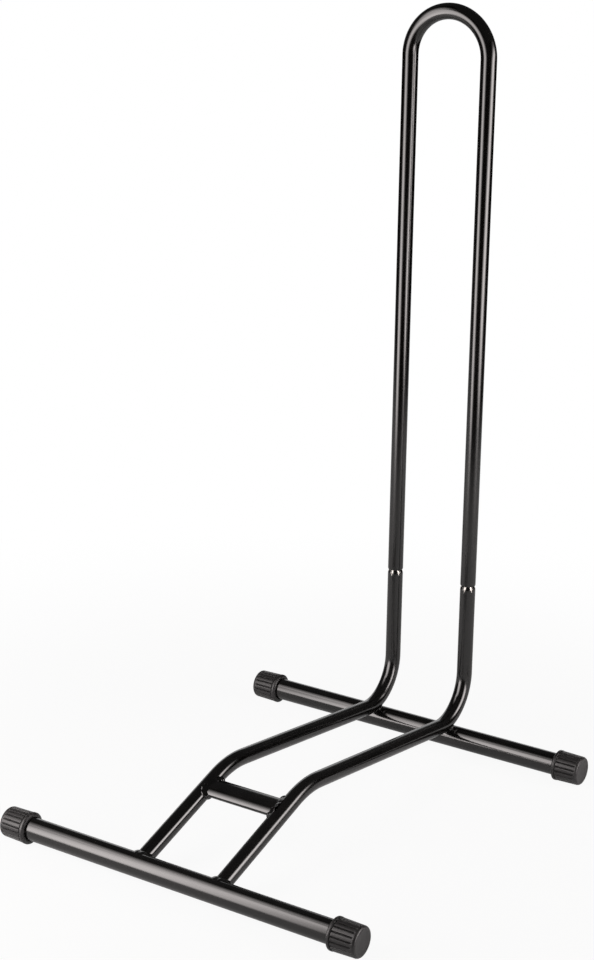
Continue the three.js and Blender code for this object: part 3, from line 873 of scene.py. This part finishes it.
def rear_weld(node, finishes):
    """Waisted fillet between the elbow and the rear cross tube below it.

    At an offset (x, q) from the contact, the cross tube lies sqrt(R^2 - q^2) - R below it. The
    elbow's underside lies B + r - sqrt((B + sqrt(r^2 - x^2))^2 - q^2) above it, where B is the
    bend's radius. The bead's radius grows from its waist to either foot as the cube of the share of
    the height.
    """
    normal_2d = unit(ELBOW_CENTRE - REAR_AXIS)
    normal = np.array([0.0, *normal_2d])
    sideways = np.cross(X_AXIS, normal)
    contact = np.array([middle(node)[0], *(REAR_AXIS + normal_2d * CROSS_TUBE_RADIUS)])
    angles = round_angles(BEAD_SIDES)
    shares = np.linspace(-1, 1, 2 * BEAD_STEPS + 1)[:, None]
    waist = REAR_BEAD_WAIST * lumps(angles, REAR_WAIST_LUMP)
    foot = REAR_BEAD_FOOT * lumps(angles, REAR_FOOT_LUMP)
    radii = np.minimum(waist + (foot - waist) * np.abs(shares) ** 3, WITHIN_TUBE * SIDE_TUBE_RADIUS)
    along = radii * np.cos(angles)
    off = radii * np.sin(angles)
    low = np.sqrt(CROSS_TUBE_RADIUS**2 - off**2) - CROSS_TUBE_RADIUS
    ridge = ELBOW_RADIUS + np.sqrt(SIDE_TUBE_RADIUS**2 - along**2)
    high = ELBOW_RADIUS + SIDE_TUBE_RADIUS + WELD_GAP - np.sqrt(ridge**2 - off**2)
    heights = low - BEAD_SINK / 2 + (high - low + BEAD_SINK) * (1 + shares) / 2
    grid = contact + along[:, :, None] * X_AXIS + off[:, :, None] * sideways
    grid = grid + heights[:, :, None] * normal
    poles = contact + np.array([[-REAR_BEAD_WAIST / 2], [REAR_BEAD_WAIST / 2]]) * normal
    points = np.vstack([grid.reshape(-1, 3), poles])
    piece = add_piece(node + "_bead", points, poled_faces(*grid.shape[:2]), finishes["weld"])
    fit_piece(piece, "base", node)


# ---------------------------------------------------------------- hoop


def hoop_path(step):
    """Places and directions up the left leg, over the half turn and down the right leg, in X and Z."""
    left = np.array([[-HALF_SPACING, HOOP_FOOT], [-HALF_SPACING, HOOP_TOP]])
    corners = np.vstack([left, left[::-1] * [-1, 1]])
    return bent_path(corners, [HALF_SPACING] * 2, step)


def hoop_rings(places, directions, radii):
    """Rings along a path in the plane of the hoop."""
    line = in_space(places, X_AXIS, Z_AXIS, (0.0, RISER_Y, 0.0))
    return rings(line, in_space(directions, X_AXIS, Z_AXIS), radii, -Y_AXIS)


def hoop_skin():
    """Outside of the hoop. Its lower edges are quarter ovals: drop = edge x (1 - sqrt(1 - t^2))."""
    places, directions = hoop_path(BEND_STEP)
    rise = np.linspace(0, LEG_EDGE_RISE, LEG_EDGE_ROWS)
    drop = LEG_EDGE * (1 - np.sqrt(1 - (1 - rise / LEG_EDGE_RISE) ** 2))
    left_foot = np.stack([np.full(LEG_EDGE_ROWS, -HALF_SPACING), HOOP_FOOT + rise], 1)
    right_foot = (left_foot * [-1, 1])[::-1]
    up = np.repeat(directions[:1], LEG_EDGE_ROWS, 0)
    down = np.repeat(directions[-1:], LEG_EDGE_ROWS, 0)
    radii = SIDE_TUBE_RADIUS - np.concatenate([drop, np.zeros(len(places) - 2), drop[::-1]])
    places = np.vstack([left_foot, places[1:-1], right_foot])
    directions = np.vstack([up, directions[1:-1], down])
    return hoop_rings(places, directions, row_values(radii, SIDE_TUBE_SIDES))


def hoop(node, finishes):
    """Tall hoop: two straight legs joined by a half turn, with rounded lower edges, and its bore."""
    skin = hoop_skin()
    places, directions = hoop_path(BORE_BEND_STEP)
    bore_radius = SIDE_TUBE_RADIUS - SIDE_TUBE_WALL
    bore_radii = same_radius(len(places), bore_radius, SIDE_TUBE_SIDES)
    bore = hoop_rings(places, directions, bore_radii)
    grid = np.vstack([skin, bore[::-1]])
    edge = np.zeros(grid.shape[:2])
    edge[:WORN_LEG_ROWS] = 1
    edge[len(skin) - WORN_LEG_ROWS : len(skin)] = 1
    faces = loop_faces(*grid.shape[:2])
    piece = add_piece(node + "_skin", grid, faces, finishes["coat"], edge)
    fit_piece(piece, "hoop", node)


# ---------------------------------------------------------------- camera

CAMERA_PLACE = Vector((1.01405, -1.55673, 0.90603))
CAMERA_AZIMUTH = radians(33.6116)
CAMERA_ELEVATION = radians(17.025)
CAMERA_ROLL = radians(0.8064)
CAMERA_LENS = 77.39
SENSOR_LONG_SIDE = 36.0


def photo_camera():
    """Camera of the photograph: azimuth and elevation of its place, then a roll about its axis."""
    lens = bpy.data.cameras.new("photo_camera")
    lens.lens = CAMERA_LENS
    lens.sensor_width = SENSOR_LONG_SIDE
    camera = bpy.data.objects.new("photo_camera", lens)
    around = Matrix.Rotation(CAMERA_AZIMUTH, 3, "Z")
    down = Matrix.Rotation(pi / 2 - CAMERA_ELEVATION, 3, "X")
    roll = Matrix.Rotation(CAMERA_ROLL, 3, "Z")
    turn = (around @ down @ roll).to_4x4()
    camera.matrix_world = Matrix.Translation(CAMERA_PLACE) @ turn
    bpy.context.scene.collection.objects.link(camera)
    bpy.context.scene.camera = camera


# ---------------------------------------------------------------- studio
# A white table in a dark room. One soft box stands before the rack to its left, with a panel that
# carries it on overhead, and one stands to its right. The table's white starts a little before the
# rack and runs on behind it as the backdrop, and the rest of the floor is dark.
#
# Each ramp below gives where it starts and ends, in metres or as a share of a direction, and then
# its level at the start and at the end, where these aren't 0 and 1.

WHITE = (1.0, 1.0, 1.0, 1.0)
TABLE_TONE = (0.55, 0.55, 0.55, 1.0)
LAMP_TONE = (1.0, 0.94, 0.925, 1.0)
ROOM_TONE = (0.02, 0.02, 0.02, 1.0)
VIEW_AHEAD = (-sin(CAMERA_AZIMUTH), cos(CAMERA_AZIMUTH), 0.0)
VIEW_RIGHT = (cos(CAMERA_AZIMUTH), sin(CAMERA_AZIMUTH), 0.0)

BOX_TOP = 1.3
LEFT_RISE = (-1.1, -0.42)
LEFT_RISE_SHIFT = (0.7, 1.2, 0.0, 0.45)
LEFT_FALL = (-0.42, 0.1, 1.0, 0.0)
LEFT_FALL_SHIFT = (0.75, 1.45, 0.0, 0.7)
LEFT_FOOT = (-0.1, 0.13)
LEFT_LEVEL = (0.2, 1.3, 8.3, 4.6)
HIGH_RISE = (-1.5, -0.8)
HIGH_FALL = (-0.65, -0.3, 1.0, 0.0)
HIGH_LEVEL = (-0.9, 0.0, 4.6, 0.0)
RIGHT_RISE = (-0.8, -0.02)
RIGHT_FALL = (0.04, 0.66, 1.0, 0.0)
RIGHT_FOOT = (-0.1, 0.18)
RIGHT_LEVEL = (0.75, 1.2, 10.0, 0.8)
RIGHT_LEAN_START = 0.15
RIGHT_LEAN = 0.9

FLOOR_RADIUS = 30.0
FLOOR_SIDES = 96
TABLE_FRONT = (-0.95, -0.5)
TABLE_SIDE = (1.1, 1.5, 1.0, 0.0)
SHADOW_SHARE = (0.3, 0.9, 0.07, 0.0)
TABLE_IN_GLOSS = 0.3
BACKDROP_SIDES = (0.8, 0.93)
BACKDROP_TOP = (0.2, 0.38, 1.0, 0.0)
ROOM_LEVEL = (0.1, 0.6, 0.025, 0.055)


def along_axis(tree, vector, axis):
    """Share of a vector along an axis."""
    node = add_node(tree, "ShaderNodeVectorMath", {0: vector, 1: axis}, operation="DOT_PRODUCT")
    return node.outputs["Value"]


def kinds_of_ray(tree):
    """Two outputs that are 1 for a ray from the camera, and for one that gloss or glass sends on."""
    path = tree.nodes.new("ShaderNodeLightPath").outputs
    mirrored = maths(tree, "MAXIMUM", path["Is Glossy Ray"], path["Is Transmission Ray"])
    return path["Is Camera Ray"], mirrored


def studio_panel(name, points):
    """Flat panel that is no part of the rack; returns it and the empty tree of its material."""
    mesh = bpy.data.meshes.new(name)
    mesh.from_pydata(np.asarray(points, float).tolist(), [], [tuple(range(len(points)))])
    panel = bpy.data.objects.new(name, mesh)
    bpy.context.scene.collection.objects.link(panel)
    material = bpy.data.materials.new(name)
    material.use_nodes = True
    material.node_tree.nodes.clear()
    mesh.materials.append(material)
    return panel, material.node_tree


def show(tree, kind, shader):
    """Links a shader to a new output of a kind: Material or World."""
    output = tree.nodes.new("ShaderNodeOutput" + kind)
    tree.links.new(shader.outputs[0], output.inputs["Surface"])


def soft_box(name, corner, width, height, glow):
    """Glowing panel that the camera doesn't see, from its lowest corner and its two sides.

    Glow works out its light from the place on it.
    """
    low = np.array(corner)
    points = [low, low + height, low + np.add(width, height), low + width]
    panel, tree = studio_panel(name, points)
    panel.visible_camera = False
    panel.visible_shadow = False
    place = tree.nodes.new("ShaderNodeTexCoord").outputs["Object"]
    light = glow(tree, *add_node(tree, "ShaderNodeSeparateXYZ", {0: place}).outputs)
    back = tree.nodes.new("ShaderNodeNewGeometry").outputs["Backfacing"]
    strength = product(tree, light, maths(tree, "SUBTRACT", 1.0, back))
    lamp = add_node(tree, "ShaderNodeEmission", {"Color": LAMP_TONE, "Strength": strength})
    show(tree, "Material", lamp)


def left_glow(tree, x, y, z):
    """Light of the left soft box: brightest across its middle, weaker and further left higher up."""
    rise = eased(tree, maths(tree, "ADD", x, eased(tree, z, *LEFT_RISE_SHIFT)), *LEFT_RISE)
    fall = eased(tree, maths(tree, "ADD", x, eased(tree, z, *LEFT_FALL_SHIFT)), *LEFT_FALL)
    return product(tree, rise, fall, eased(tree, z, *LEFT_FOOT), eased(tree, z, *LEFT_LEVEL))


def high_glow(tree, x, y, z):
    """Light of the panel that carries the left soft box on over the rack, and fades out there."""
    rise = eased(tree, x, *HIGH_RISE)
    fall = eased(tree, x, *HIGH_FALL)
    return product(tree, rise, fall, eased(tree, y, *HIGH_LEVEL))


def right_glow(tree, x, y, z):
    """Light of the right soft box: its bright middle runs back as it goes up."""
    above = maths(tree, "MAXIMUM", maths(tree, "SUBTRACT", z, RIGHT_LEAN_START), 0.0)
    across = maths(tree, "SUBTRACT", y, product(tree, above, RIGHT_LEAN))
    rise = eased(tree, across, *RIGHT_RISE)
    fall = eased(tree, across, *RIGHT_FALL)
    return product(tree, rise, fall, eased(tree, z, *RIGHT_FOOT), eased(tree, z, *RIGHT_LEVEL))


def studio_lamps():
    """The left soft box with its panel overhead, and the right soft box."""
    upright = (0, 0, BOX_TOP)
    overhead = (0, 0.8, 0)
    soft_box("left_soft_box", (-2.0, -0.7, 0.0), (2.15, 0, 0), upright, left_glow)
    soft_box("high_soft_box", (-1.6, -0.7, BOX_TOP), (1.4, 0, 0), overhead, high_glow)
    soft_box("right_soft_box", (1.25, -0.85, 0.0), (0, 2.6, 0), upright, right_glow)


def studio_floor():
    """Pale table top. The camera sees it white, with a share of the object's shadow near it.

    Gloss sees a share of its white, and the rest of what it sees there is the table as it is lit.
    """
    angles = round_angles(FLOOR_SIDES)
    rim = np.stack([np.cos(angles), np.sin(angles), 0 * angles], 1) * FLOOR_RADIUS
    tree = studio_panel("studio_floor", rim)[1]
    place = tree.nodes.new("ShaderNodeTexCoord").outputs["Object"]
    ahead = along_axis(tree, place, VIEW_AHEAD)
    aside = maths(tree, "ABSOLUTE", along_axis(tree, place, VIEW_RIGHT))
    paper = product(tree, eased(tree, ahead, *TABLE_FRONT), eased(tree, aside, *TABLE_SIDE))
    length = add_node(tree, "ShaderNodeVectorMath", {0: place}, operation="LENGTH")
    shadowed = eased(tree, length.outputs["Value"], *SHADOW_SHARE)
    seen, mirrored = kinds_of_ray(tree)
    level = maths(tree, "ADD", seen, product(tree, mirrored, paper))
    share = product(tree, maths(tree, "ADD", seen, mirrored), maths(tree, "SUBTRACT", 1.0, shadowed))
    share = product(tree, share, eased(tree, seen, 0.0, 1.0, TABLE_IN_GLOSS, 1.0))
    matt = add_node(tree, "ShaderNodeBsdfDiffuse", {"Color": mixed(tree, paper, ROOM_TONE, TABLE_TONE)})
    glow = add_node(tree, "ShaderNodeEmission", {"Color": WHITE, "Strength": level})
    shaders = {0: share, 1: matt.outputs[0], 2: glow.outputs[0]}
    show(tree, "Material", add_node(tree, "ShaderNodeMixShader", shaders))


def studio_room():
    """World: white to the camera, white low down behind the rack in gloss, and else a dark room."""
    world = bpy.data.worlds.new("studio_room")
    bpy.context.scene.world = world
    world.use_nodes = True
    tree = world.node_tree
    tree.nodes.clear()
    way = tree.nodes.new("ShaderNodeTexCoord").outputs["Generated"]
    height = height_part(tree, way)
    behind = eased(tree, along_axis(tree, way, VIEW_AHEAD), *BACKDROP_SIDES)
    low = eased(tree, height, *BACKDROP_TOP)
    seen, mirrored = kinds_of_ray(tree)
    white = maths(tree, "MAXIMUM", seen, product(tree, mirrored, behind, low))
    level = maths(tree, "MAXIMUM", white, eased(tree, height, *ROOM_LEVEL))
    show(tree, "World", add_node(tree, "ShaderNodeBackground", {"Color": WHITE, "Strength": level}))


# ---------------------------------------------------------------- the rack


def build_rack():
    """Every piece of the rack, in place of its CAD node."""
    finishes = make_finishes()
    for end in ("front", "rear"):
        cross_tube(end + "_cross_tube", finishes)
        for side in ("left", "right"):
            end_cap(f"{end}_{side}_cap", finishes)
    rung("wheel_rung", finishes)
    for side in ("left", "right"):
        side_tube(side + "_side_tube", finishes)
        front_weld(f"front_{side}_weld", finishes)
        rung_weld(f"rung_{side}_weld", finishes)
        rear_weld(f"rear_{side}_weld", finishes)
    hoop("upper_hoop", finishes)


photo_camera()
studio_lamps()
studio_floor()
studio_room()
build_rack()
bpy.context.scene.view_settings.view_transform = "Standard"
